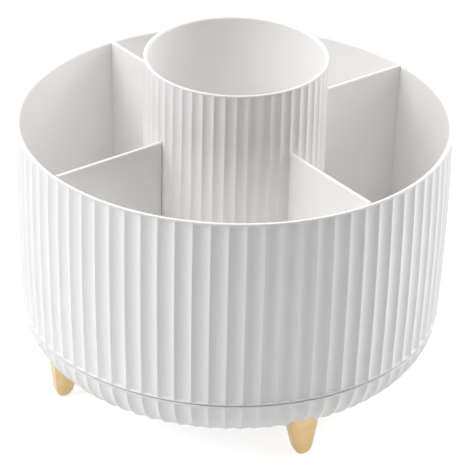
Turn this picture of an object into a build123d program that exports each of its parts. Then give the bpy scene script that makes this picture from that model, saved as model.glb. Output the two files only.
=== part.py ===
"""Round rotating make-up organizer.

A fluted drum with four bays and a taller centre cup turns on a ball ring above a fluted,
bowl-edged base, which stands on four tapered feet. Millimetres, +Z up, with the origin on the
floor under the drum's axis. The dividers lie along X and Y.
"""

import os
from math import asin, cos, radians, sin, sqrt, tan

from build123d import *

# Overall form
drum_radius = 78.3  # widest place, over the ridges
widest_height = 85.0  # where the drum's side is widest, above the floor
side_arc_radius = 980.0  # the drum's side bows outwards a little
rim_height = 102.0
foot_height = 12.5  # floor to the base's flat underside
base_height = 16.0  # underside to the seam
bowl_inset = 10.6  # how far the base's edge comes in from the seam to the underside
bowl_arc_radius = 20.0  # curve of the base's edge
seam_gap = 0.5  # open joint between the base and the turning drum

# Flutes
flute_count = 80
flute_depth = 0.85
ridge_angle = 2.25  # first ridge, so that the dividers meet the middle of a flute
lip_height = 1.5  # plain band above the drum's flutes
seam_lip = 0.4  # plain edges of the drum and the base, on each side of the seam
cup_flute_count = 51
cup_flute_depth = 0.55
cup_ridge_angle = -90.95
cup_lip_height = 1.2

# Walls
rim_wall = 1.6
wall_draft = 1.5  # degrees, the drum's bays widen upwards
base_skin = 1.3  # base's wall behind a flute
floor_thickness = 2.2
rib_thickness = 1.6
boss_wall = 1.8
edge_break = 0.3

# Centre cup
cup_radius = 32.8  # over the ridges
cup_rise = 25.0  # above the drum's rim
cup_wall = 1.4
cup_floor_rise = 4.0  # the cup's floor stands on bosses above the drum's floor
cup_screw_circle = 22.0
cup_screw_length = 7.0

# Dividers
divider_count = 4
divider_thickness = 1.5
divider_gap = 0.1  # to the drum's wall, its slots and the cup
tab_length = 9.0
tab_inset = 7.0  # from each end of a divider to its tab

# Ball ring
ball_radius = 2.5
ball_count = 8
ball_circle = 40.0
ball_play = 0.08
race_groove_depth = 1.2
race_thickness = 3.4
race_width = 15.5
race_inset = 5.0  # from the ball circle to the races' inner edge
race_screw_offset = 6.6  # from the ball circle to the races' screws
race_screw_length = 6.5
cage_gap = 0.6  # from the cage to each race
cage_width = 7.4
race_space = 4.0  # drum's floor above the upper race

# Pivot
pivot_radius = 2.5  # shoulder of the centre screw
pivot_play = 0.06
bush_wall = 1.5
bush_flange = 2.0
bush_flange_thickness = 1.0
pivot_boss_height = 4.8  # above the base's floor
pivot_head_radius = 4.5
pivot_head_thickness = 2.0
pivot_head_sink = 0.4  # head above the base's underside
pivot_socket_width = 4.0
pivot_socket_depth = 1.2
washer_radius = 6.0
washer_thickness = 0.8
washer_play = 0.5
hub_radius = 5.5
thread_radius = 2.0
thread_length = 10.0
bearing_gap = 0.3  # between faces that turn past each other

# Small screws
screw_radius = 1.25
screw_head_radius = 2.3
screw_head_thickness = 1.2
screw_gap = 0.05
head_gap = 0.15
screw_tip_room = 0.5
screw_count = 4  # in each circle
screw_angle = 45.0  # midway between the dividers

# Feet
foot_count = 4
foot_angle = -14.0  # first foot
foot_width = 10.3  # across, at the underside
foot_depth = 10.5  # radially, at the underside
foot_tip_width = 5.8  # at the floor, if the tip weren't rounded
foot_tip_depth = 5.2
foot_lean = 1.5  # tip's middle outside the top's
foot_bevel = 0.2  # bevelled corners, as a share of the foot's width
foot_round = 3.5  # height of the rounded tip
foot_tip_flat = 0.2  # what the rounding leaves of the tip's width
foot_stub = 4.4  # straight top that fills the base's socket
foot_outset = -1.1  # foot's middle outside the edge of the flat underside
foot_gap = 0.2
foot_screw_length = 8.0

# Heights and radii that follow
base_top = foot_height + base_height
drum_bottom = base_top + seam_gap
drum_floor = drum_bottom + race_space
bay_floor = drum_floor + floor_thickness
cup_top = rim_height + cup_rise
cup_floor = bay_floor + cup_floor_rise
base_floor = foot_height + floor_thickness
upper_race_face = drum_bottom - race_thickness
ball_height = upper_race_face + race_groove_depth - ball_radius
lower_race_face = ball_height - ball_radius + race_groove_depth
lower_race_seat = lower_race_face - race_thickness
race_inner = ball_circle - race_inset
race_outer = race_inner + race_width
race_screw_circle = ball_circle + race_screw_offset
head_pocket = screw_head_thickness + head_gap
pivot_ceiling = foot_height + pivot_head_sink + pivot_head_thickness + washer_thickness + bearing_gap
bush_seat = base_floor + pivot_boss_height
hub_bottom = bush_seat + bush_flange_thickness + bearing_gap
bush_bore = pivot_radius + pivot_play
bush_radius = bush_bore + bush_wall
foot_top = foot_height + foot_stub
screw_boss_radius = screw_radius + boss_wall


def polar(radius, angle):
    """Point at a radius and an angle in degrees."""
    return (radius * cos(radians(angle)), radius * sin(radians(angle)))


def around(shape, count, start=0.0):
    """Copies of a shape that lies beside +X, evenly about the axis."""
    return [Rot(0, 0, start + 360 / count * k) * shape for k in range(count)]


def rod(radius, low, high, x=0.0):
    """Upright round bar between two heights."""
    return Pos(x, 0, low) * extrude(Circle(radius), high - low)


def tube(inner, outer, low, high):
    """Upright round tube between two heights."""
    return Pos(0, 0, low) * extrude(Circle(outer) - Circle(inner), high - low)


def turned(section):
    """Body of revolution of a flat section drawn in radius and height."""
    return revolve(Plane.XZ * section, Axis.Z)


def fluted_outline(ridge_radius, depth, count, first_ridge, height):
    """Ring of concave arcs that meet in sharp ridges."""
    pitch = 360 / count
    arcs = []
    for k in range(count):
        angle = first_ridge + k * pitch
        middle = polar(ridge_radius - depth, angle + pitch / 2)
        arcs.append(ThreePointArc(polar(ridge_radius, angle), middle, polar(ridge_radius, angle + pitch)))
    return Pos(0, 0, height) * make_face(arcs)


def side_radius(height):
    """Ridge radius of the drum's bowed side."""
    return drum_radius - side_arc_radius + sqrt(side_arc_radius**2 - (height - widest_height) ** 2)


def bay_radius(height):
    """Inner radius of the drum's drafted wall."""
    return side_radius(rim_height) - rim_wall - (rim_height - height) * tan(radians(wall_draft))


sole_radius = side_radius(base_top) - bowl_inset
foot_circle = sole_radius + foot_outset


def bowl_centre():
    """Centre of the base edge's arc, from its two ends and its radius."""
    half_across = bowl_inset / 2
    half_up = base_height / 2
    half_chord = sqrt(half_across**2 + half_up**2)
    to_centre = sqrt(bowl_arc_radius**2 - half_chord**2) / half_chord
    radius = sole_radius + half_across - half_up * to_centre
    return radius, foot_height + half_up + half_across * to_centre


def bowl_point(height, arc_radius=bowl_arc_radius):
    """Radius and height of a place on an arc about the centre of the base's edge."""
    centre_radius, centre_height = bowl_centre()
    return centre_radius + sqrt(arc_radius**2 - (height - centre_height) ** 2), height


def pan_screw(seat, x, length, head_up=True):
    """Small screw whose head rests on a seat."""
    way = 1 if head_up else -1
    shank = Pos(x, 0, seat) * extrude(Circle(screw_radius), -way * length)
    return shank + Pos(x, 0, seat) * extrude(Circle(screw_head_radius), way * screw_head_thickness)


def screw_circle(seat, circle, length, head_up=True):
    """Screws evenly about the axis, between the dividers."""
    return around(pan_screw(seat, circle, length, head_up), screw_count, screw_angle)


def screw_holes(circle, low, high, radius=screw_radius + screw_gap):
    """Round holes for a circle of screws."""
    return around(rod(radius, low, high, circle), screw_count, screw_angle)


def race_ribs(low, high):
    """Two round ribs and the screw bosses that carry a race."""
    inner = tube(race_inner, race_inner + rib_thickness, low, high)
    outer = tube(race_outer - rib_thickness, race_outer, low, high)
    bosses = around(rod(screw_boss_radius, low, high, race_screw_circle), screw_count, screw_angle)
    return [inner, outer, *bosses]


# Base


def base_edge():
    """Solid of the base's fluted outside, lofted up the curve of its edge."""
    steps = 4
    centre_height = bowl_centre()[1]
    low = asin((foot_height - centre_height) / bowl_arc_radius)
    high = asin((base_top - centre_height) / bowl_arc_radius)
    sections = []
    for k in range(steps + 1):
        lean = low + (high - low) * k / steps
        radius, height = bowl_point(centre_height + bowl_arc_radius * sin(lean))
        sections.append(fluted_outline(radius, flute_depth, flute_count, ridge_angle, height))
    return loft(sections, ruled=True) + rod(side_radius(base_top), base_top - seam_lip, base_top)


def base_hollow():
    """Space inside the base, above its floor."""
    inner_arc = bowl_arc_radius - flute_depth - base_skin
    low = bowl_point(base_floor, inner_arc)
    middle = bowl_point((base_floor + base_top) / 2, inner_arc)
    high = bowl_point(base_top, inner_arc)
    edge = [ThreePointArc(low, middle, high), Polyline(high, (0, base_top), (0, base_floor), low)]
    return turned(make_face(edge))


def foot_outline(height, grow=0.0):
    """Foot section at a height: an oblong with bevelled corners that leans out to a rounded tip."""
    share = min(height / foot_height, 1)
    into_tip = max(foot_round - height, 0) / foot_round
    narrowing = foot_tip_flat + (1 - foot_tip_flat) * sqrt(1 - into_tip**2)
    half = (foot_tip_width + (foot_width - foot_tip_width) * share) / 2 * narrowing + grow
    out = (foot_tip_depth + (foot_depth - foot_tip_depth) * share) / 2 * narrowing + grow
    bevel = 2 * half * foot_bevel
    quarter = [(out, bevel - half), (out, half - bevel), (out - bevel, half), (bevel - out, half)]
    corners = quarter + [(-x, -y) for x, y in quarter]
    return Pos(foot_circle + foot_lean * (1 - share), 0, height) * make_face(Polyline(*corners, close=True))


def foot():
    """Tapered foot with a stub that fills its socket."""
    tip = loft([foot_outline(foot_round * share) for share in (0, 0.15, 0.5, 1)])
    body = loft([foot_outline(foot_round), foot_outline(foot_height)], ruled=True)
    stub = extrude(foot_outline(foot_height), foot_stub)
    hole_low = foot_top + boss_wall - foot_screw_length - screw_tip_room
    return tip + body + stub - rod(screw_radius + screw_gap, hole_low, foot_top, foot_circle)


def base_shell():
    """Bowl-edged base with sockets for the feet, ribs for the lower race and a boss for the pivot."""
    hollow = base_hollow()
    socket_wall = Pos(0, 0, base_floor - foot_height) * extrude(
        foot_outline(foot_height, foot_gap + boss_wall), foot_top + boss_wall - base_floor
    )
    socket = extrude(foot_outline(foot_height, foot_gap), foot_stub)
    foot_hole = rod(screw_radius + screw_gap, foot_top, foot_top + boss_wall, foot_circle)
    pivot_boss = rod(washer_radius + washer_play + boss_wall, base_floor, bush_seat)
    head_room = rod(washer_radius + washer_play, foot_height, pivot_ceiling)
    bush_hole = rod(bush_radius + screw_gap, pivot_ceiling, bush_seat)
    pilot_low = lower_race_face - head_pocket - race_screw_length - screw_tip_room
    shell = base_edge() - hollow
    shell += around(socket_wall & hollow, foot_count, foot_angle)
    shell += race_ribs(base_floor, lower_race_seat) + [pivot_boss]
    shell -= around(socket + foot_hole, foot_count, foot_angle)
    return shell - screw_holes(race_screw_circle, pilot_low, lower_race_seat) - head_room - bush_hole


def foot_screws():
    """Screws down through the base into the feet."""
    return around(pan_screw(foot_top + boss_wall, foot_circle, foot_screw_length), foot_count, foot_angle)


# Ball ring


def race(low, head_face):
    """Ring with a V groove for the balls and sunk screw holes in its face."""
    ring = tube(race_inner, race_outer, low, low + race_thickness)
    across = 2 * (ball_radius + ball_play)
    groove = turned(Pos(ball_circle, ball_height) * Rot(0, 0, 45) * Rectangle(across, across))
    inwards = low + race_thickness / 2 - head_face
    sink = head_pocket if inwards > 0 else -head_pocket
    sunk_low, sunk_high = sorted((head_face, head_face + sink))
    sunk = screw_holes(race_screw_circle, sunk_low, sunk_high, screw_head_radius + head_gap)
    return ring - groove - sunk - screw_holes(race_screw_circle, low, low + race_thickness)


def ball_cage():
    """Thin ring with a pocket for each ball."""
    low, high = lower_race_face + cage_gap, upper_race_face - cage_gap
    ring = tube(ball_circle - cage_width / 2, ball_circle + cage_width / 2, low, high)
    return ring - around(rod(ball_radius + ball_play, low, high, ball_circle), ball_count)


def bearing_balls():
    """Steel balls between the races."""
    return around(Pos(ball_circle, 0, ball_height) * Sphere(ball_radius), ball_count)


# Pivot


def pivot_bush():
    """Flanged bush in the base's centre."""
    sleeve = tube(bush_bore, bush_radius, pivot_ceiling, bush_seat)
    return sleeve + tube(bush_bore, bush_radius + bush_flange, bush_seat, bush_seat + bush_flange_thickness)


def pivot_screw():
    """Shoulder screw from below, through the bush, into the drum's hub."""
    head_low = foot_height + pivot_head_sink
    head_high = head_low + pivot_head_thickness
    head = rod(pivot_head_radius, head_low, head_high)
    head = chamfer(head.faces().sort_by(Axis.Z)[0].edges(), edge_break)
    hexagon = RegularPolygon(pivot_socket_width / 2, 6, major_radius=False)
    socket = Pos(0, 0, head_low) * extrude(hexagon, pivot_socket_depth)
    shoulder = rod(pivot_radius, head_high, hub_bottom)
    return head + shoulder + rod(thread_radius, hub_bottom, hub_bottom + thread_length) - socket


def pivot_washer():
    """Washer between the centre screw's head and the bush."""
    low = foot_height + pivot_head_sink + pivot_head_thickness
    return tube(pivot_radius + pivot_play, washer_radius, low, low + washer_thickness)


# Drum


def drum_outside():
    """Solid of the drum's fluted, slightly bowed side between a plain lip and a plain edge."""
    flute_top = rim_height - lip_height
    sections = [
        fluted_outline(side_radius(height), flute_depth, flute_count, ridge_angle, height)
        for height in (drum_bottom, (drum_bottom + flute_top) / 2, flute_top)
    ]
    lip_radius = side_radius(rim_height)
    lip = chamfer(rod(lip_radius, flute_top, rim_height).faces().sort_by(Axis.Z)[-1].edges(), edge_break)
    seam_edge = rod(side_radius(drum_bottom), drum_bottom, drum_bottom + seam_lip)
    return loft(sections, ruled=True) + lip + seam_edge


def tab_spans():
    """Inner and outer radius of each tab under a divider."""
    inner = cup_radius + divider_gap + tab_inset
    outer = bay_radius(bay_floor) - divider_gap - tab_inset
    return [(inner, inner + tab_length), (outer - tab_length, outer)]


def tab_block(span, grow=0.0):
    """Block as thick as the drum's floor, for a divider's tab or its slot."""
    length = span[1] - span[0] + 2 * grow
    middle = Pos((span[0] + span[1]) / 2, 0, drum_floor)
    return middle * extrude(Rectangle(length, divider_thickness + 2 * grow), floor_thickness)


def drum_shell():
    """Fluted drum with its floor, the pivot's hub and the ribs for the upper race."""
    low = (bay_radius(bay_floor), bay_floor)
    high = (bay_radius(rim_height), rim_height)
    bays = turned(make_face(Polyline((0, bay_floor), low, high, (0, rim_height), close=True)))
    under = rod(bay_radius(drum_bottom), drum_bottom, drum_floor)
    slots = [tab_block(span, divider_gap) for span in tab_spans()]
    pilot_high = upper_race_face + head_pocket + race_screw_length + screw_tip_room
    thread_hole = rod(thread_radius + screw_gap, hub_bottom, hub_bottom + thread_length + screw_tip_room)
    shell = drum_outside() - bays - under
    shell += race_ribs(drum_bottom, drum_floor) + [rod(hub_radius, hub_bottom, drum_floor)]
    shell -= around(slots[0] + slots[1], divider_count)
    shell -= screw_holes(race_screw_circle, drum_bottom, pilot_high)
    return shell - screw_holes(cup_screw_circle, drum_floor, bay_floor) - thread_hole


def divider():
    """Upright plate between two bays, with tabs through the drum's floor."""
    inner = cup_radius + divider_gap
    low = bay_radius(bay_floor) - divider_gap
    high = bay_radius(rim_height) - divider_gap
    corners = [(inner, bay_floor), (low, bay_floor), (high, rim_height), (inner, rim_height)]
    plate = extrude(Plane.XZ * make_face(Polyline(*corners, close=True)), divider_thickness / 2, both=True)
    return plate + [tab_block(span) for span in tab_spans()]


def centre_cup():
    """Tall fluted cup on a hollow foot, screwed to the drum's floor from below."""
    flute_top = cup_top - cup_lip_height
    inner = cup_radius - cup_wall
    outline = fluted_outline(cup_radius, cup_flute_depth, cup_flute_count, cup_ridge_angle, bay_floor)
    lip = chamfer(rod(cup_radius, flute_top, cup_top).faces().sort_by(Axis.Z)[-1].edges(), edge_break)
    bosses = around(rod(screw_boss_radius, bay_floor, cup_floor, cup_screw_circle), screw_count, screw_angle)
    pilot_high = drum_floor + cup_screw_length + screw_tip_room
    cup = extrude(outline, flute_top - bay_floor) + lip
    cup -= rod(inner, bay_floor, cup_floor) + rod(inner, cup_floor + floor_thickness, cup_top)
    return cup + bosses - screw_holes(cup_screw_circle, bay_floor, pilot_high)


def pieces():
    """Every separate piece, by name."""
    made = {
        "base_shell": base_shell(),
        "lower_race": race(lower_race_seat, lower_race_face),
        "lower_race_screws": screw_circle(
            lower_race_face - head_pocket, race_screw_circle, race_screw_length
        ),
        "foot_screws": foot_screws(),
        "pivot_bush": pivot_bush(),
        "ball_cage": ball_cage(),
        "bearing_balls": bearing_balls(),
        "drum_shell": drum_shell(),
        "centre_cup": centre_cup(),
        "cup_screws": screw_circle(drum_floor, cup_screw_circle, cup_screw_length, head_up=False),
        "upper_race": race(upper_race_face, upper_race_face),
        "upper_race_screws": screw_circle(
            upper_race_face + head_pocket, race_screw_circle, race_screw_length, head_up=False
        ),
        "pivot_screw": pivot_screw(),
        "pivot_washer": pivot_washer(),
    }
    made |= {f"foot_{k + 1}": piece for k, piece in enumerate(around(foot(), foot_count, foot_angle))}
    made |= {f"divider_{k + 1}": piece for k, piece in enumerate(around(divider(), divider_count))}
    return made


os.makedirs("parts", exist_ok=True)
for name, piece in pieces().items():
    solids = piece if isinstance(piece, list) else [piece]
    export_step(Compound(children=[s for shape in solids for s in shape.solids()]), f"parts/{name}.step")
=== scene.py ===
from math import asin, atan2, cos, pi, radians, sin, sqrt, tan

import bmesh
import bpy
from mathutils import Matrix, Vector


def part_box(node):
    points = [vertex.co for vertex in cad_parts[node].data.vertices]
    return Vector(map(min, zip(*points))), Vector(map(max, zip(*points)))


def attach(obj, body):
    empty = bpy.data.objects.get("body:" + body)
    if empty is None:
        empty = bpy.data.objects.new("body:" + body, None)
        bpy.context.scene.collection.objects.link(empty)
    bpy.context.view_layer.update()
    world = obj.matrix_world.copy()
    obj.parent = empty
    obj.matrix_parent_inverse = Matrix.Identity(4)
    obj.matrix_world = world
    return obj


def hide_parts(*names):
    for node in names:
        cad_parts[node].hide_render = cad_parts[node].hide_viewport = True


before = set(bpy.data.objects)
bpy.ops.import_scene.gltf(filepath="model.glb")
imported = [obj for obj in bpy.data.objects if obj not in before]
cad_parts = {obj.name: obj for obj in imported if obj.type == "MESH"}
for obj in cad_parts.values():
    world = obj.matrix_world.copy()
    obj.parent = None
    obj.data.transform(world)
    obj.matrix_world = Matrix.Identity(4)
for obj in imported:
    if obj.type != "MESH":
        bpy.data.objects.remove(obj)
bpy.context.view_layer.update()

MM = 0.001

# Sizes of the organizer, in metres
DRUM_RADIUS = 78.3 * MM
RIM_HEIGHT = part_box("drum_shell")[1].z
DRUM_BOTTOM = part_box("upper_race")[1].z
WIDEST_HEIGHT = 85.0 * MM
SIDE_ARC_RADIUS = 980.0 * MM
RIM_WALL = 1.6 * MM
WALL_DRAFT = radians(1.5)
FLOOR_THICKNESS = 2.2 * MM
BAY_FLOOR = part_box("centre_cup")[0].z
DRUM_FLOOR = BAY_FLOOR - FLOOR_THICKNESS
HUB_RADIUS = 5.5 * MM
HUB_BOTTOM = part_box("drum_shell")[0].z
THREAD_HOLE_RADIUS = 2.05 * MM
THREAD_HOLE_DEPTH = 10.5 * MM
THREAD_HOLE_TOP = HUB_BOTTOM + THREAD_HOLE_DEPTH
FLUTES = 80
FLUTE_DEPTH = 0.85 * MM
RIDGE_ANGLE = radians(2.25)
RIDGE_ROUND = 0.22 * MM
LIP_HEIGHT = 0.8 * MM
SEAM_LIP = 0.4 * MM
SHELF_FALL = 0.2 * MM  # height over which a flute runs out at the rim
SEAM_FALL = 0.5 * MM  # height over which it runs out at the seam
EDGE_ROUND = 0.3 * MM
INNER_EDGE_ROUND = 1.0 * MM
SEAM_ROUND = 0.2 * MM
CORNER_ROUND = 1.2 * MM

BASE_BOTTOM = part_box("base_shell")[0].z
BASE_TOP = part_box("base_shell")[1].z
BASE_FLOOR = BASE_BOTTOM + FLOOR_THICKNESS
BOWL_INSET = 10.6 * MM
BOWL_ARC_RADIUS = 20.0 * MM
BASE_SKIN = 1.3 * MM
HOLLOW_ARC_RADIUS = BOWL_ARC_RADIUS - FLUTE_DEPTH - BASE_SKIN
RACE_INNER = 35.0 * MM
RACE_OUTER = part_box("upper_race")[1].x
RIB_THICKNESS = 1.6 * MM
LOWER_RACE_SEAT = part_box("lower_race")[0].z
HEAD_ROOM_RADIUS = 6.5 * MM
HEAD_ROOM_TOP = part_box("pivot_bush")[0].z
BUSH_FLANGE = 1.0 * MM
BUSH_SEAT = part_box("pivot_bush")[1].z - BUSH_FLANGE
BUSH_HOLE_RADIUS = 4.11 * MM
PIVOT_BOSS_RADIUS = 8.3 * MM

CUP_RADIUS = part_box("centre_cup")[1].x
CUP_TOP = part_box("centre_cup")[1].z
CUP_WALL = 1.4 * MM
CUP_FLUTES = 51
CUP_FLUTE_DEPTH = 0.55 * MM
CUP_RIDGE_ANGLE = radians(-90.95)
CUP_LIP_HEIGHT = 0.7 * MM
CUP_FOOT_HEIGHT = 4.0 * MM
CUP_FLOOR = BAY_FLOOR + CUP_FOOT_HEIGHT

DIVIDERS = 4
DIVIDER_THICKNESS = 1.5 * MM
DIVIDER_GAP = 0.02 * MM
DIVIDER_ROUND = 0.55 * MM
TAB_LENGTH = 9.0 * MM
TAB_INSET = 7.0 * MM
SLOT_GAP = 0.1 * MM

SCREWS = 4
SCREW_ANGLE = radians(45)
SCREW_RADIUS = 1.25 * MM
SCREW_GAP = 0.05 * MM
SCREW_HOLE_RADIUS = SCREW_RADIUS + SCREW_GAP
BOSS_WALL = 1.8 * MM
BOSS_RADIUS = SCREW_RADIUS + BOSS_WALL
TIP_ROOM = 0.5 * MM  # free depth past a screw's tip
RACE_SCREW_CIRCLE = 46.6 * MM
CUP_SCREW_CIRCLE = 22.0 * MM
DRUM_PILOT_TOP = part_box("upper_race_screws")[1].z + TIP_ROOM
CUP_PILOT_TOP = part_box("cup_screws")[1].z + TIP_ROOM
BASE_PILOT_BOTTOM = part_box("lower_race_screws")[0].z - TIP_ROOM

FEET = 4
FOOT_ANGLE = radians(-14.0)
FOOT_WIDTH = 10.3 * MM
FOOT_DEPTH = 10.5 * MM
FOOT_TIP_WIDTH = 5.8 * MM
FOOT_TIP_DEPTH = 5.2 * MM
FOOT_LEAN = 1.5 * MM
FOOT_BEVEL = 0.2  # of the foot's width
FOOT_ROUND = 3.5 * MM  # height of the rounded tip
FOOT_TIP_FLAT = 0.2  # of the tip's size, left flat to stand on
FOOT_EDGE_ROUND = 0.3 * MM
FOOT_OUTSET = -1.1 * MM  # of a foot's middle from the underside's edge, inward
FOOT_GAP = 0.2 * MM
FOOT_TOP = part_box("foot_1")[1].z

# Fineness of the modelling
TOUCH = 0.002 * MM  # points this near are one
RIDGE_STEPS = 2
GROOVE_STEPS = 8
SIDE_STEPS = 4
BOWL_STEPS = 8
ROUND_STEPS = 3
TIP_STEPS = 7
ROD_SIDES = 24
ROUND_SIDES = 160
SINK = 0.5 * MM  # how far an added wall reaches into the one it joins
CUT_PAST = 1.0 * MM  # how far a cutter reaches past the wall it cuts
SMOOTH_ANGLE = radians(32)
FOOT_SMOOTH_ANGLE = radians(45)

# Viewpoint of the photograph
VIEW_TURN = radians(-37.5)
VIEW_OUT = 892.7 * MM
VIEW_ABOVE_RIM = 455.8 * MM
VIEW_YAW = radians(0.067)
VIEW_PITCH = radians(29.444)
VIEW_ROLL = radians(1.34)
FOCAL_PIXELS = 2800.0
FRAME_PIXELS = 470.0
SENSOR_WIDTH = 36.0
FARTHEST_SEEN = 20.0

# Studio
FLOOR_SIZE = 1.5
FLOOR_COLOUR = (0.8, 0.8, 0.8, 1)
FLOOR_ROUGHNESS = 0.9
FLOOR_GLOW = 0.7  # strength added where the floor is seen, so that it is white
SURROUNDINGS_LIGHT = 0.0
LAMP_COLOUR = (0.97, 0.98, 1.0)
LAMP_AIM = Vector((0, 0, 70.0 * MM))

# Span that most of a noise pattern keeps to
NOISE_LOW = 0.3
NOISE_HIGH = 0.7


def side_radius(height):
    """Ridge radius of the drum's bowed side at a height."""
    bow = sqrt(SIDE_ARC_RADIUS**2 - (height - WIDEST_HEIGHT) ** 2) - SIDE_ARC_RADIUS
    return DRUM_RADIUS + bow


def bay_radius(height):
    """Inner radius of the drum's drafted wall at a height."""
    return side_radius(RIM_HEIGHT) - RIM_WALL - (RIM_HEIGHT - height) * tan(WALL_DRAFT)


SOLE_RADIUS = side_radius(BASE_TOP) - BOWL_INSET
FOOT_CIRCLE = SOLE_RADIUS + FOOT_OUTSET


def bowl_centre():
    """Centre of the arc of the base's edge, as radius and height."""
    half_across = BOWL_INSET / 2
    half_up = (BASE_TOP - BASE_BOTTOM) / 2
    half_chord = sqrt(half_across**2 + half_up**2)
    to_centre = sqrt(BOWL_ARC_RADIUS**2 - half_chord**2) / half_chord
    return (
        SOLE_RADIUS + half_across - half_up * to_centre,
        BASE_BOTTOM + half_up + half_across * to_centre,
    )


# Modelling by hand, in edit mode


def clear_selection():
    """Leaves edit mode and deselects every object."""
    if bpy.context.object and bpy.context.object.mode != "OBJECT":
        bpy.ops.object.mode_set(mode="OBJECT")
    bpy.ops.object.select_all(action="DESELECT")


def begin(name):
    """Names the primitive just added and opens it in edit mode, all selected."""
    piece = bpy.context.object
    piece.name = piece.data.name = name
    bpy.ops.object.mode_set(mode="EDIT")
    bpy.ops.mesh.select_mode(type="VERT")
    bpy.ops.mesh.select_all(action="SELECT")
    return piece


def middle_of(item):
    """Middle of a vertex, edge or face."""
    if isinstance(item, bmesh.types.BMVert):
        return item.co
    if isinstance(item, bmesh.types.BMEdge):
        return (item.verts[0].co + item.verts[1].co) / 2
    return item.calc_center_median()


def pick(piece, kind, test):
    """In edit mode, selects only the verts, edges or faces that pass the test of middle and item."""
    bpy.ops.mesh.select_mode(type={"verts": "VERT", "edges": "EDGE", "faces": "FACE"}[kind])
    bpy.ops.mesh.select_all(action="DESELECT")
    mesh = bmesh.from_edit_mesh(piece.data)
    for item in getattr(mesh, kind):
        if test(middle_of(item), item):
            item.select_set(True)
    mesh.select_flush_mode()
    bmesh.update_edit_mesh(piece.data)


def is_level(edge):
    """Whether an edge lies flat."""
    return abs(edge.verts[0].co.z - edge.verts[1].co.z) < TOUCH


def use_modifier(piece, kind, **settings):
    """Adds a modifier with these settings and applies it."""
    clear_selection()
    piece.select_set(True)
    bpy.context.view_layer.objects.active = piece
    modifier = piece.modifiers.new(kind.lower(), kind)
    for key, value in settings.items():
        setattr(modifier, key, value)
    bpy.ops.object.modifier_apply(modifier=modifier.name)


def combine(piece, other, operation):
    """Joins the other piece to this one, cuts it away or keeps what both share, then removes it."""
    use_modifier(piece, "BOOLEAN", object=other, operation=operation, solver="EXACT")
    bpy.data.objects.remove(other)


def settle(piece, smooth_angle=SMOOTH_ANGLE):
    """Puts the piece's place into its mesh and smooths it up to an angle."""
    clear_selection()
    piece.select_set(True)
    bpy.context.view_layer.objects.active = piece
    bpy.ops.object.transform_apply(location=True, rotation=True, scale=True)
    bpy.ops.object.shade_smooth_by_angle(angle=smooth_angle)
    piece.select_set(False)
    return piece


def repeat_round(piece, count, first):
    """Repeats a piece open in edit mode evenly about the axis, from a first angle, as one mesh."""
    bpy.ops.mesh.select_all(action="SELECT")
    turn = 2 * pi * (count - 1) / count
    bpy.ops.mesh.spin(steps=count - 1, angle=turn, center=(0, 0, 0), axis=(0, 0, 1), dupli=True)
    bpy.ops.mesh.select_all(action="SELECT")
    bpy.ops.mesh.normals_make_consistent(inside=False)
    clear_selection()
    piece.rotation_euler.z = first
    return settle(piece)


def finish_piece(piece, body, slot, material, *nodes):
    """The piece rides on its body, takes its finish and stands for its CAD nodes."""
    piece.data.materials.clear()
    piece.data.materials.append(material)
    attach(piece, body)
    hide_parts(*nodes)


# Fluted bodies of revolution


def lone_vertex(name, place):
    """A piece of one vertex, from a small plane merged to its middle."""
    clear_selection()
    bpy.ops.mesh.primitive_plane_add(size=MM, location=(0, 0, 0))
    piece = begin(name)
    bpy.ops.mesh.merge(type="CENTER")
    bpy.ops.transform.translate(value=place)
    return piece


def sweep_end(angle, centre, steps):
    """Spins the selected end vertex anticlockwise about an upright line through centre."""
    bpy.ops.mesh.spin(steps=steps, angle=-angle, center=centre, axis=(0, 0, 1))


def draw_levels(start, levels, half, bulge):
    """Extrudes the selected flute section through levels of (ridge radius, height, flute).

    half is half a flute's angle. bulge is the scale across that turns the groove into a circle's arc.
    """
    now_radius, now_height, now_shape = start
    for radius, height, flute in levels:
        bpy.ops.mesh.extrude_edges_move(TRANSFORM_OT_translate={"value": (0, 0, height - now_height)})
        share = radius / now_radius
        bpy.ops.transform.resize(value=(share, share, 1), center_override=(0, 0, 0))
        shape = flute + (1 - flute) * bulge
        if radius > 0:
            chord = (radius * cos(half), 0, 0)
            bpy.ops.transform.resize(value=(shape / now_shape, 1, 1), center_override=chord)
        now_radius, now_height, now_shape = radius, height, shape


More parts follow.
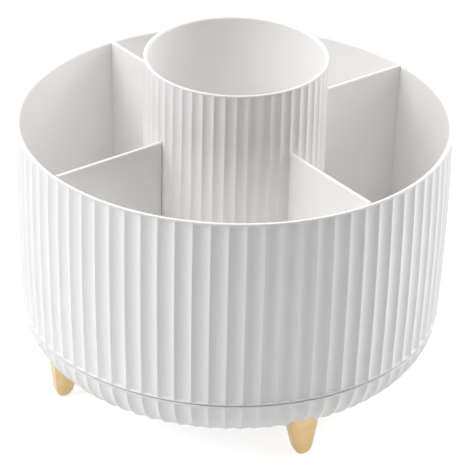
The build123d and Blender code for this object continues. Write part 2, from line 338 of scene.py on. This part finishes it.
def fluted_shell(name, first_ridge, count, depth, start, rising, falling):
    """Fluted body of revolution: one flute's section, drawn through levels, then spun into a ring.

    start is the (ridge radius, height) of the first section, at the full depth. rising and falling
    are levels of (ridge radius, height, flute) from there, where flute is 1 for the full depth and
    0 for a plain circle.
    """
    radius, height = start
    half = pi / count
    # The groove's wide arc runs smoothly into the small arcs of the two half ridges beside it.
    ridge_centre = Vector(((radius - RIDGE_ROUND) * cos(half), (radius - RIDGE_ROUND) * sin(half), height))
    into = radius - depth - ridge_centre.x
    groove_radius = (into**2 + ridge_centre.y**2 - RIDGE_ROUND**2) / (2 * (RIDGE_ROUND - into))
    groove_centre = Vector((radius - depth + groove_radius, 0, height))
    lean = atan2(ridge_centre.y, groove_centre.x - ridge_centre.x)
    mirror_centre = Vector((ridge_centre.x, -ridge_centre.y, height))
    piece = lone_vertex(name, (radius * cos(half), -radius * sin(half), height))
    sweep_end(half + lean, mirror_centre, RIDGE_STEPS)
    sweep_end(-2 * lean, groove_centre, GROOVE_STEPS)
    sweep_end(half + lean, ridge_centre, RIDGE_STEPS)
    bulge = -(1 - cos(half)) / (depth / radius - (1 - cos(half)))
    for levels in (rising, falling):
        pick(piece, "edges", lambda middle, edge: abs(middle.z - height) < TOUCH and is_level(edge))
        draw_levels((radius, height, 1.0), levels, half, bulge)
    bpy.ops.mesh.select_all(action="SELECT")
    bpy.ops.mesh.spin(steps=count, angle=2 * pi, center=(0, 0, 0), axis=(0, 0, 1), dupli=True)
    bpy.ops.mesh.select_all(action="SELECT")
    bpy.ops.mesh.remove_doubles(threshold=TOUCH)
    bpy.ops.mesh.normals_make_consistent(inside=False)
    bpy.ops.object.mode_set(mode="OBJECT")
    piece.rotation_euler.z = first_ridge + half
    return settle(piece)


def circles(*corners):
    """Levels of a plain round profile from its (radius, height) corners."""
    return [(radius, height, 0.0) for radius, height in corners]


def rounded(corner, before, after, size):
    """Places round a profile's corner, between a way in and a way out of unit length."""
    corner, before, after = Vector(corner), Vector(before), Vector(after)
    places = []
    for k in range(ROUND_STEPS + 1):
        turn = radians(90) * k / ROUND_STEPS
        places.append(tuple(corner - before * size * (1 - sin(turn)) + after * size * (1 - cos(turn))))
    return places


def rim_circles(outer, inner, top):
    """Levels over a rim whose two edges are rounded."""
    outside = rounded((outer, top), (0, 1), (-1, 0), EDGE_ROUND)
    inside = rounded((inner, top), (-1, 0), (0, -1), INNER_EDGE_ROUND)
    return circles(*outside, *inside)


def ribs_between(seat, root):
    """Profile of the two ribs that carry a race, from the outer to the inner."""
    corners = []
    for outer in (RACE_OUTER, RACE_INNER + RIB_THICKNESS):
        inner = outer - RIB_THICKNESS
        corners += [(outer, root), (outer, seat), (inner, seat), (inner, root)]
    return corners


def drum_wall():
    """The drum: fluted, slightly bowed wall, rim, bays, floor, ribs and hub in one moulding."""
    low = DRUM_BOTTOM + SEAM_LIP + SEAM_FALL
    flute_top = RIM_HEIGHT - LIP_HEIGHT - SHELF_FALL
    side = []
    for k in range(1, SIDE_STEPS + 1):
        height = low + (flute_top - low) * k / SIDE_STEPS
        side.append((side_radius(height), height, 1.0))
    rim_radius = side_radius(RIM_HEIGHT)
    shelf = circles((rim_radius, RIM_HEIGHT - LIP_HEIGHT))
    rim = rim_circles(rim_radius, bay_radius(RIM_HEIGHT), RIM_HEIGHT)
    floor = rounded((bay_radius(BAY_FLOOR), BAY_FLOOR), (0, -1), (-1, 0), CORNER_ROUND)
    rising = side + shelf + rim + circles(*floor, (0, BAY_FLOOR))
    edge = rounded((side_radius(DRUM_BOTTOM), DRUM_BOTTOM), (0, -1), (-1, 0), SEAM_ROUND)
    falling = circles((side_radius(DRUM_BOTTOM), DRUM_BOTTOM + SEAM_LIP), *edge)
    inside = bay_radius(DRUM_BOTTOM)
    falling += circles((inside, DRUM_BOTTOM), (inside, DRUM_FLOOR), *ribs_between(DRUM_BOTTOM, DRUM_FLOOR))
    falling += circles((HUB_RADIUS, DRUM_FLOOR), (HUB_RADIUS, HUB_BOTTOM), (THREAD_HOLE_RADIUS, HUB_BOTTOM))
    falling += circles((THREAD_HOLE_RADIUS, THREAD_HOLE_TOP), (0, THREAD_HOLE_TOP))
    start = (side_radius(low), low)
    return fluted_shell("drum_wall", RIDGE_ANGLE, FLUTES, FLUTE_DEPTH, start, rising, falling)


def cup_wall():
    """The centre cup: fluted outside, plain lip, smooth inside and a hollow foot."""
    lip_bottom = CUP_TOP - CUP_LIP_HEIGHT
    inner = CUP_RADIUS - CUP_WALL
    inside_floor = CUP_FLOOR + FLOOR_THICKNESS
    floor = rounded((inner, inside_floor), (0, -1), (-1, 0), CORNER_ROUND)
    rising = [(CUP_RADIUS, lip_bottom - SHELF_FALL, 1.0)] + circles((CUP_RADIUS, lip_bottom))
    rising += rim_circles(CUP_RADIUS, inner, CUP_TOP) + circles(*floor, (0, inside_floor))
    falling = circles((inner, BAY_FLOOR), (inner, CUP_FLOOR), (0, CUP_FLOOR))
    start = (CUP_RADIUS, BAY_FLOOR)
    return fluted_shell("cup_wall", CUP_RIDGE_ANGLE, CUP_FLUTES, CUP_FLUTE_DEPTH, start, rising, falling)


def base_bowl():
    """The base: fluted bowl edge, flat underside, and ribs and pivot boss inside."""
    centre_radius, centre_height = bowl_centre()
    flute_top = BASE_TOP - SEAM_LIP - SEAM_FALL
    low = asin((BASE_BOTTOM - centre_height) / BOWL_ARC_RADIUS)
    high = asin((flute_top - centre_height) / BOWL_ARC_RADIUS)
    start = (centre_radius + BOWL_ARC_RADIUS * cos(high), flute_top)
    falling = []
    for k in range(1, BOWL_STEPS + 1):
        lean = high + (low - high) * k / BOWL_STEPS
        radius = centre_radius + BOWL_ARC_RADIUS * cos(lean)
        falling.append((radius, centre_height + BOWL_ARC_RADIUS * sin(lean), start[0] / radius))
    head_room = circles((HEAD_ROOM_RADIUS, BASE_BOTTOM), (HEAD_ROOM_RADIUS, HEAD_ROOM_TOP))
    falling += head_room + circles((BUSH_HOLE_RADIUS, HEAD_ROOM_TOP))
    edge = rounded((side_radius(BASE_TOP), BASE_TOP), (0, 1), (-1, 0), SEAM_ROUND)
    rising = circles((side_radius(BASE_TOP), BASE_TOP - SEAM_LIP), *edge)
    inner_low = asin((BASE_FLOOR - centre_height) / HOLLOW_ARC_RADIUS)
    inner_high = asin((BASE_TOP - centre_height) / HOLLOW_ARC_RADIUS)
    for k in range(BOWL_STEPS + 1):
        lean = inner_high + (inner_low - inner_high) * k / BOWL_STEPS
        inner_radius = centre_radius + HOLLOW_ARC_RADIUS * cos(lean)
        rising += circles((inner_radius, centre_height + HOLLOW_ARC_RADIUS * sin(lean)))
    rising += circles(*ribs_between(LOWER_RACE_SEAT, BASE_FLOOR))
    rising += circles((PIVOT_BOSS_RADIUS, BASE_FLOOR), (PIVOT_BOSS_RADIUS, BUSH_SEAT))
    rising += circles((BUSH_HOLE_RADIUS, BUSH_SEAT), (BUSH_HOLE_RADIUS, HEAD_ROOM_TOP))
    return fluted_shell("base_bowl", RIDGE_ANGLE, FLUTES, FLUTE_DEPTH, start, rising, falling)


# Feet


def foot_section(height, grow=0.0):
    """Depth, width and middle of a foot at a height."""
    share = min(height / BASE_BOTTOM, 1)
    into_tip = max(FOOT_ROUND - height, 0) / FOOT_ROUND
    narrowing = FOOT_TIP_FLAT + (1 - FOOT_TIP_FLAT) * sqrt(1 - into_tip**2)
    depth = (FOOT_TIP_DEPTH + (FOOT_DEPTH - FOOT_TIP_DEPTH) * share) * narrowing + 2 * grow
    width = (FOOT_TIP_WIDTH + (FOOT_WIDTH - FOOT_TIP_WIDTH) * share) * narrowing + 2 * grow
    return depth, width, Vector((FOOT_CIRCLE + FOOT_LEAN * (1 - share), 0, height))


def foot_blank(name, heights, grow=0.0):
    """Bevelled oblong drawn down through heights, beside +X."""
    clear_selection()
    bpy.ops.mesh.primitive_plane_add(size=1, location=(0, 0, 0))
    piece = begin(name)
    depth, width, middle = foot_section(heights[0], grow)
    bpy.ops.transform.resize(value=(depth, width, 1))
    bpy.ops.transform.translate(value=middle)
    bpy.ops.mesh.bevel(offset=FOOT_BEVEL * width, offset_type="OFFSET", affect="VERTICES")
    for height in heights[1:]:
        next_depth, next_width, next_middle = foot_section(height, grow)
        bpy.ops.mesh.extrude_region_move(TRANSFORM_OT_translate={"value": next_middle - middle})
        narrower = (next_depth / depth, next_width / width, 1)
        bpy.ops.transform.resize(value=narrower, center_override=next_middle)
        depth, width, middle = next_depth, next_width, next_middle
    bpy.ops.mesh.select_all(action="SELECT")
    bpy.ops.mesh.normals_make_consistent(inside=False)
    return piece


def gold_foot(number):
    """Tapered foot with softened edges and a rounded tip."""
    turns = [radians(90) * k / TIP_STEPS for k in range(TIP_STEPS + 1)]
    heights = [FOOT_TOP, BASE_BOTTOM] + [FOOT_ROUND * (1 - sin(turn)) for turn in turns]
    piece = foot_blank(f"gold_foot_{number}", heights)
    pick(piece, "edges", lambda middle, edge: not is_level(edge))
    bpy.ops.mesh.bevel(offset=FOOT_EDGE_ROUND, segments=ROUND_STEPS, affect="EDGES")
    clear_selection()
    piece.rotation_euler.z = FOOT_ANGLE + 2 * pi / FEET * (number - 1)
    settle(piece, FOOT_SMOOTH_ANGLE)
    use_modifier(piece, "WEIGHTED_NORMAL", keep_sharp=True)
    return piece


# Screws, sockets and slots in the mouldings


def upright_rods(radius, low, high, circle, count=SCREWS, first=SCREW_ANGLE):
    """Upright round bars on a circle about the axis, midway between the dividers unless told."""
    clear_selection()
    bpy.ops.mesh.primitive_cylinder_add(
        vertices=ROD_SIDES, radius=radius, depth=high - low, location=(0, 0, 0)
    )
    rods = begin("upright_rods")
    bpy.ops.transform.translate(value=(circle, 0, (low + high) / 2))
    return repeat_round(rods, count, first)


def hollow_radius(height):
    """Radius of the base's inside at a height."""
    centre_radius, centre_height = bowl_centre()
    return centre_radius + sqrt(HOLLOW_ARC_RADIUS**2 - (height - centre_height) ** 2)


def socket_walls(low, high):
    """Blocks for the walls of the feet's sockets, trimmed to the inside of the base."""
    wall = foot_blank("socket_wall", [high, low], FOOT_GAP + BOSS_WALL)
    clear_selection()
    bpy.ops.mesh.primitive_cone_add(
        vertices=ROUND_SIDES, radius1=hollow_radius(low) + SINK, radius2=hollow_radius(high) + SINK,
        depth=high - low, location=(0, 0, (low + high) / 2),
    )
    combine(wall, bpy.context.object, "INTERSECT")
    bpy.ops.object.mode_set(mode="EDIT")
    return repeat_round(wall, FEET, FOOT_ANGLE)


def fit_base(base):
    """Gives the base its screw bosses, the walled sockets of the feet and the screws' holes."""
    low, high = BASE_FLOOR - SINK, FOOT_TOP + BOSS_WALL
    combine(base, socket_walls(low, high), "UNION")
    combine(base, upright_rods(BOSS_RADIUS, low, LOWER_RACE_SEAT, RACE_SCREW_CIRCLE), "UNION")
    sockets = foot_blank("sockets", [FOOT_TOP, BASE_BOTTOM - CUT_PAST], FOOT_GAP)
    combine(base, repeat_round(sockets, FEET, FOOT_ANGLE), "DIFFERENCE")
    bottom, top = FOOT_TOP - CUT_PAST, high + CUT_PAST
    holes = upright_rods(SCREW_HOLE_RADIUS, bottom, top, FOOT_CIRCLE, FEET, FOOT_ANGLE)
    combine(base, holes, "DIFFERENCE")
    top = LOWER_RACE_SEAT + CUT_PAST
    pilots = upright_rods(SCREW_HOLE_RADIUS, BASE_PILOT_BOTTOM, top, RACE_SCREW_CIRCLE)
    combine(base, pilots, "DIFFERENCE")
    return settle(base)


def tab_slots(near, far):
    """Blocks for the slots of one tab of each divider, from near to far along it."""
    clear_selection()
    bpy.ops.mesh.primitive_cube_add(size=1, location=(0, 0, 0))
    slots = begin("tab_slots")
    length = far - near + 2 * SLOT_GAP
    bpy.ops.transform.resize(
        value=(length, DIVIDER_THICKNESS + 2 * SLOT_GAP, FLOOR_THICKNESS + 2 * CUT_PAST)
    )
    bpy.ops.transform.translate(value=((near + far) / 2, 0, (DRUM_FLOOR + BAY_FLOOR) / 2))
    return repeat_round(slots, DIVIDERS, 0.0)


def fit_drum(drum):
    """Gives the drum its screw bosses, the screws' holes and the slots of the dividers' tabs."""
    bosses = upright_rods(BOSS_RADIUS, DRUM_BOTTOM, DRUM_FLOOR + SINK, RACE_SCREW_CIRCLE)
    combine(drum, bosses, "UNION")
    pilots = upright_rods(SCREW_HOLE_RADIUS, DRUM_BOTTOM - CUT_PAST, DRUM_PILOT_TOP, RACE_SCREW_CIRCLE)
    combine(drum, pilots, "DIFFERENCE")
    bottom, top = DRUM_FLOOR - CUT_PAST, BAY_FLOOR + CUT_PAST
    combine(drum, upright_rods(SCREW_HOLE_RADIUS, bottom, top, CUP_SCREW_CIRCLE), "DIFFERENCE")
    for near, far in tab_spans():
        combine(drum, tab_slots(near, far), "DIFFERENCE")
    return settle(drum)


def fit_cup(cup):
    """Gives the cup the bosses and the holes of its screws."""
    bosses = upright_rods(BOSS_RADIUS, BAY_FLOOR, CUP_FLOOR + SINK, CUP_SCREW_CIRCLE)
    combine(cup, bosses, "UNION")
    holes = upright_rods(SCREW_HOLE_RADIUS, BAY_FLOOR - CUT_PAST, CUP_PILOT_TOP, CUP_SCREW_CIRCLE)
    combine(cup, holes, "DIFFERENCE")
    return settle(cup)


# Dividers


def tab_spans():
    """Nearest and farthest place of each of a divider's tabs along it."""
    inner = CUP_RADIUS + DIVIDER_GAP + TAB_INSET
    outer = bay_radius(BAY_FLOOR) - DIVIDER_GAP - TAB_INSET
    return [(inner, inner + TAB_LENGTH), (outer - TAB_LENGTH, outer)]


def divider_plate(number):
    """Upright plate between two bays: softened top and two tabs through the floor."""
    inner = CUP_RADIUS + DIVIDER_GAP
    low = bay_radius(BAY_FLOOR) - DIVIDER_GAP
    high = bay_radius(RIM_HEIGHT) - DIVIDER_GAP
    clear_selection()
    bpy.ops.mesh.primitive_cube_add(size=1, location=(0, 0, 0))
    piece = begin(f"divider_plate_{number}")
    bpy.ops.transform.resize(value=(low - inner, DIVIDER_THICKNESS, RIM_HEIGHT - BAY_FLOOR))
    bpy.ops.transform.translate(value=((low + inner) / 2, 0, (RIM_HEIGHT + BAY_FLOOR) / 2))
    pick(piece, "edges", lambda middle, edge: middle.x > low - TOUCH and middle.z > RIM_HEIGHT - TOUCH)
    bpy.ops.transform.translate(value=(high - low, 0, 0))
    for place in (edge for tab in tab_spans() for edge in tab):
        bpy.ops.mesh.select_all(action="SELECT")
        bpy.ops.mesh.bisect(plane_co=(place, 0, 0), plane_no=(1, 0, 0))
    for near, far in tab_spans():
        pick(piece, "faces", lambda middle, face: near < middle.x < far and middle.z < BAY_FLOOR + TOUCH)
        bpy.ops.mesh.extrude_region_move(TRANSFORM_OT_translate={"value": (0, 0, -FLOOR_THICKNESS)})
    pick(piece, "edges", lambda middle, edge: middle.z > RIM_HEIGHT - TOUCH and abs(middle.y) > TOUCH)
    bpy.ops.mesh.bevel(offset=DIVIDER_ROUND, segments=ROUND_STEPS, affect="EDGES")
    bpy.ops.mesh.select_all(action="SELECT")
    bpy.ops.mesh.normals_make_consistent(inside=False)
    clear_selection()
    piece.rotation_euler.z = 2 * pi / DIVIDERS * (number - 1)
    return settle(piece)


# Finishes


def new_material(name):
    """A material with its node tree and shader."""
    material = bpy.data.materials.new(name)
    material.use_nodes = True
    return material, material.node_tree, material.node_tree.nodes["Principled BSDF"]


def grain(tree, scale, detail):
    """Noise on the object's own coordinates, at a scale per metre, with this many octaves."""
    place = tree.nodes.new("ShaderNodeTexCoord")
    noise = tree.nodes.new("ShaderNodeTexNoise")
    noise.inputs["Scale"].default_value = scale
    noise.inputs["Detail"].default_value = detail
    tree.links.new(place.outputs["Object"], noise.inputs["Vector"])
    return noise.outputs["Fac"]


def spread(tree, value, low, high):
    """A number from low to high as a noise value goes over its usual span."""
    span = tree.nodes.new("ShaderNodeMapRange")
    span.inputs["From Min"].default_value = NOISE_LOW
    span.inputs["From Max"].default_value = NOISE_HIGH
    span.inputs["To Min"].default_value = low
    span.inputs["To Max"].default_value = high
    tree.links.new(value, span.inputs["Value"])
    return span.outputs["Result"]


def tint(tree, value, first, second):
    """A colour from first to second as a noise value goes over its usual span."""
    mix = tree.nodes.new("ShaderNodeMix")
    mix.data_type = "RGBA"
    mix.inputs["A"].default_value = (*first, 1)
    mix.inputs["B"].default_value = (*second, 1)
    tree.links.new(spread(tree, value, 0, 1), mix.inputs["Factor"])
    return mix.outputs["Result"]


def relief(tree, shader, value, depth, strength):
    """Fine relief of a surface, depth in metres."""
    bump = tree.nodes.new("ShaderNodeBump")
    bump.inputs["Distance"].default_value = depth
    bump.inputs["Strength"].default_value = strength
    tree.links.new(value, bump.inputs["Height"])
    tree.links.new(bump.outputs["Normal"], shader.inputs["Normal"])


def moulded_white():
    """Matt white moulded plastic with a fine eroded texture and faint flow marks."""
    material, tree, shader = new_material("moulded_white")
    flow = grain(tree, scale=45, detail=2)
    texture = grain(tree, scale=2600, detail=4)
    colour = tint(tree, flow, first=(0.938, 0.918, 0.9), second=(0.953, 0.935, 0.917))
    tree.links.new(colour, shader.inputs["Base Color"])
    tree.links.new(spread(tree, texture, low=0.42, high=0.52), shader.inputs["Roughness"])
    relief(tree, shader, texture, depth=0.02 * MM, strength=0.35)
    return material


def gold_plate():
    """Polished gold plating with faint haze and orange peel."""
    material, tree, shader = new_material("gold_plate")
    haze = grain(tree, scale=220, detail=3)
    peel = grain(tree, scale=900, detail=2)
    shader.inputs["Metallic"].default_value = 1.0
    colour = tint(tree, haze, first=(0.5, 0.355, 0.175), second=(0.55, 0.4, 0.21))
    tree.links.new(colour, shader.inputs["Base Color"])
    tree.links.new(spread(tree, haze, low=0.14, high=0.22), shader.inputs["Roughness"])
    relief(tree, shader, peel, depth=0.02 * MM, strength=0.3)
    return material


def race_plastic():
    """Slippery natural plastic of the races, the cage and the bush."""
    material, tree, shader = new_material("race_plastic")
    cloud = grain(tree, scale=160, detail=3)
    colour = tint(tree, cloud, first=(0.74, 0.74, 0.71), second=(0.79, 0.79, 0.765))
    tree.links.new(colour, shader.inputs["Base Color"])
    tree.links.new(spread(tree, cloud, low=0.3, high=0.42), shader.inputs["Roughness"])
    relief(tree, shader, grain(tree, scale=1800, detail=2), depth=0.02 * MM, strength=0.2)
    return material


def ball_steel():
    """Bright ground steel of the balls."""
    material, tree, shader = new_material("ball_steel")
    shader.inputs["Metallic"].default_value = 1.0
    lap = grain(tree, scale=1500, detail=2)
    colour = tint(tree, lap, first=(0.72, 0.73, 0.75), second=(0.76, 0.77, 0.79))
    tree.links.new(colour, shader.inputs["Base Color"])
    tree.links.new(spread(tree, lap, low=0.06, high=0.12), shader.inputs["Roughness"])
    return material


def screw_zinc():
    """Zinc-plated steel of the screws and the washer."""
    material, tree, shader = new_material("screw_zinc")
    shader.inputs["Metallic"].default_value = 1.0
    plate = grain(tree, scale=700, detail=4)
    colour = tint(tree, plate, first=(0.58, 0.6, 0.63), second=(0.68, 0.69, 0.7))
    tree.links.new(colour, shader.inputs["Base Color"])
    tree.links.new(spread(tree, plate, low=0.24, high=0.4), shader.inputs["Roughness"])
    relief(tree, shader, grain(tree, scale=2600, detail=2), depth=0.01 * MM, strength=0.25)
    return material


# Studio


def around_view(turn, height, distance):
    """Place at a turn to the right of the camera's side, seen from the axis."""
    angle = VIEW_TURN - radians(90) + turn
    return Vector((distance * cos(angle), distance * sin(angle), height))


def camera():
    """The photograph's viewpoint."""
    clear_selection()
    bpy.ops.object.camera_add(location=around_view(0, RIM_HEIGHT + VIEW_ABOVE_RIM, VIEW_OUT))
    viewer = bpy.context.object
    viewer.name = "photo_camera"
    turn = Matrix.Rotation(VIEW_TURN - VIEW_YAW, 3, "Z")
    tip = Matrix.Rotation(radians(90) - VIEW_PITCH, 3, "X")
    roll = Matrix.Rotation(VIEW_ROLL, 3, "Z")
    viewer.rotation_euler = (turn @ tip @ roll).to_euler()
    viewer.data.sensor_width = SENSOR_WIDTH
    viewer.data.lens = FOCAL_PIXELS / FRAME_PIXELS * SENSOR_WIDTH
    viewer.data.clip_end = FARTHEST_SEEN
    bpy.context.scene.camera = viewer


def soft_light(name, turn, height, distance, size, power):
    """A square soft box that faces the organizer, at a turn in degrees to the right of the camera."""
    clear_selection()
    place = around_view(radians(turn), height, distance)
    bpy.ops.object.light_add(type="AREA", location=place)
    lamp = bpy.context.object
    lamp.name = name
    lamp.data.size = size
    lamp.data.energy = power
    lamp.data.color = LAMP_COLOUR
    lamp.rotation_euler = (place - LAMP_AIM).to_track_quat("Z", "Y").to_euler()


def seen_directly(tree):
    """1 for what the camera, a gloss or a clear piece looks at, else 0."""
    path = tree.nodes.new("ShaderNodeLightPath")
    total = path.outputs["Is Camera Ray"]
    for ray in ("Is Glossy Ray", "Is Transmission Ray"):
        add = tree.nodes.new("ShaderNodeMath")
        add.operation = "MAXIMUM"
        tree.links.new(total, add.inputs[0])
        tree.links.new(path.outputs[ray], add.inputs[1])
        total = add.outputs[0]
    return total


def strength_when_seen(tree, seen, unseen):
    """One strength for what is seen directly, and another for the light that it gives."""
    span = tree.nodes.new("ShaderNodeMapRange")
    span.inputs["To Min"].default_value = unseen
    span.inputs["To Max"].default_value = seen
    tree.links.new(seen_directly(tree), span.inputs["Value"])
    return span.outputs["Result"]


def room_light():
    """White surroundings to look at, and the even light that they give."""
    world = bpy.data.worlds.new("studio")
    bpy.context.scene.world = world
    world.use_nodes = True
    tree = world.node_tree
    background = tree.nodes["Background"]
    background.inputs["Color"].default_value = (1, 1, 1, 1)
    strength = strength_when_seen(tree, seen=1.0, unseen=SURROUNDINGS_LIGHT)
    tree.links.new(strength, background.inputs["Strength"])


def pale_floor():
    """Plain white floor that keeps a faint shadow."""
    clear_selection()
    bpy.ops.mesh.primitive_plane_add(size=FLOOR_SIZE, location=(0, 0, 0))
    floor = bpy.context.object
    floor.name = floor.data.name = "studio_floor"
    material, tree, shader = new_material("floor_white")
    shader.inputs["Base Color"].default_value = FLOOR_COLOUR
    shader.inputs["Roughness"].default_value = FLOOR_ROUGHNESS
    shader.inputs["Emission Color"].default_value = (1, 1, 1, 1)
    glow = strength_when_seen(tree, seen=FLOOR_GLOW, unseen=0.0)
    tree.links.new(glow, shader.inputs["Emission Strength"])
    floor.data.materials.append(material)


camera()
room_light()
pale_floor()
soft_light("top_soft_box", turn=0, height=1.6, distance=0.001, size=1.2, power=6.6)
soft_light("back_soft_box", turn=180, height=1.3, distance=0.8, size=1.0, power=4.2)
soft_light("left_soft_box", turn=-76, height=0.7, distance=1.4, size=1.4, power=9.4)
soft_light("high_left_soft_box", turn=-68, height=1.15, distance=0.95, size=1.0, power=8.2)
soft_light("back_left_soft_box", turn=-140, height=1.15, distance=0.95, size=1.0, power=4.4)
soft_light("high_right_soft_box", turn=100, height=1.15, distance=0.95, size=1.2, power=5.0)
soft_light("low_right_soft_box", turn=108, height=0.4, distance=1.2, size=1.1, power=9.6)

white = moulded_white()
gold = gold_plate()
race = race_plastic()
balls = ball_steel()
zinc = screw_zinc()

finish_piece(fit_drum(drum_wall()), "drum", "white_plastic", white, "drum_shell")
finish_piece(fit_cup(cup_wall()), "drum", "white_plastic", white, "centre_cup")
for number in range(1, DIVIDERS + 1):
    finish_piece(divider_plate(number), "drum", "white_plastic", white, f"divider_{number}")
finish_piece(fit_base(base_bowl()), "base", "white_plastic", white, "base_shell")
for number in range(1, FEET + 1):
    finish_piece(gold_foot(number), "base", "gold_plating", gold, f"foot_{number}")

inside_finishes = {
    "upper_race": race, "lower_race": race, "ball_cage": race, "pivot_bush": race, "bearing_balls": balls,
    "pivot_screw": zinc, "pivot_washer": zinc, "foot_screws": zinc, "cup_screws": zinc,
    "lower_race_screws": zinc, "upper_race_screws": zinc,
}
for node, material in inside_finishes.items():
    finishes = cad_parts[node].data.materials
    finishes.clear()
    finishes.append(material)

bpy.context.scene.view_settings.view_transform = "Standard"
